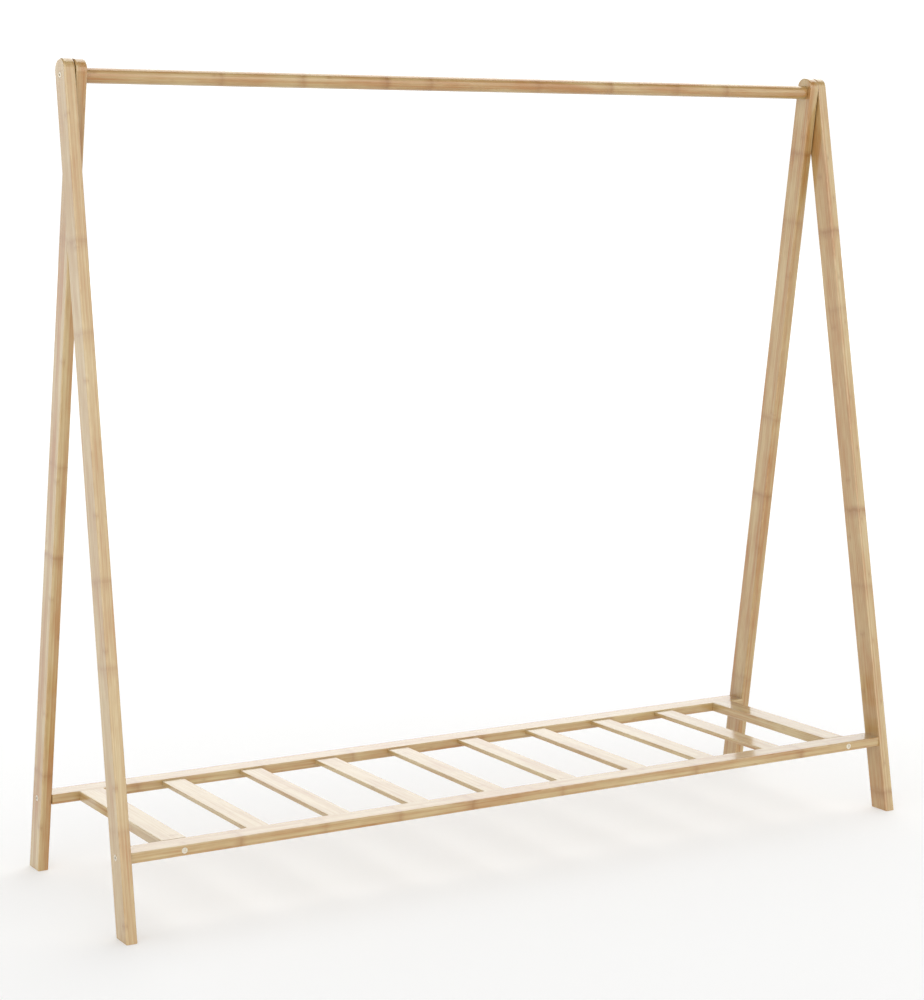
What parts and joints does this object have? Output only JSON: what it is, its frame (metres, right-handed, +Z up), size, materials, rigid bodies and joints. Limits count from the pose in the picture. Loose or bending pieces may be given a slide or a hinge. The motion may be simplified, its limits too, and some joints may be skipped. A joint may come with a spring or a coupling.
{
  "type": "clothes rack",
  "caption": "Free-standing A-frame bamboo clothes rack: one round hanging rod between two leg pairs crossed at the top, and a low slatted shoe shelf.",
  "frame": {"origin": "on the floor, midway between the two side frames and midway between the front feet and the rear feet", "axes": "+X along the hanging rod to the right-hand side frame, +Y towards the back, +Z up"},
  "size_m": [1.6848, 0.528, 1.5],
  "materials": {
    "bamboo_leg": "satin lacquered laminated bamboo",
    "bamboo_rod": "satin lacquered laminated bamboo",
    "bamboo_rail": "satin lacquered laminated bamboo",
    "bamboo_slat": "satin lacquered laminated bamboo",
    "bolt_steel": "nickel-plated",
    "nut_steel": "zinc-plated",
    "washer_steel": "zinc-plated",
    "insert_brass": "turned"
  },
  "bodies": {
    "root": {"front_left_leg": "bamboo_leg", "rear_left_leg": "bamboo_leg", "front_right_leg": "bamboo_leg", "rear_right_leg": "bamboo_leg", "hanging_rod": "bamboo_rod", "front_rail": "bamboo_rail", "rear_rail": "bamboo_rail", "left_end_slat": "bamboo_slat", "right_end_slat": "bamboo_slat", "slat_1": "bamboo_slat", "slat_2": "bamboo_slat", "slat_3": "bamboo_slat", "slat_4": "bamboo_slat", "slat_5": "bamboo_slat", "slat_6": "bamboo_slat", "slat_7": "bamboo_slat", "slat_8": "bamboo_slat", "top_bolts": "bolt_steel", "rail_bolts": "bolt_steel", "shelf_bolts": "bolt_steel", "rail_barrel_nuts": "nut_steel", "shelf_barrel_nuts": "nut_steel", "lap_washers": "washer_steel", "rod_end_inserts": "insert_brass"}
  },
  "joints": []
}
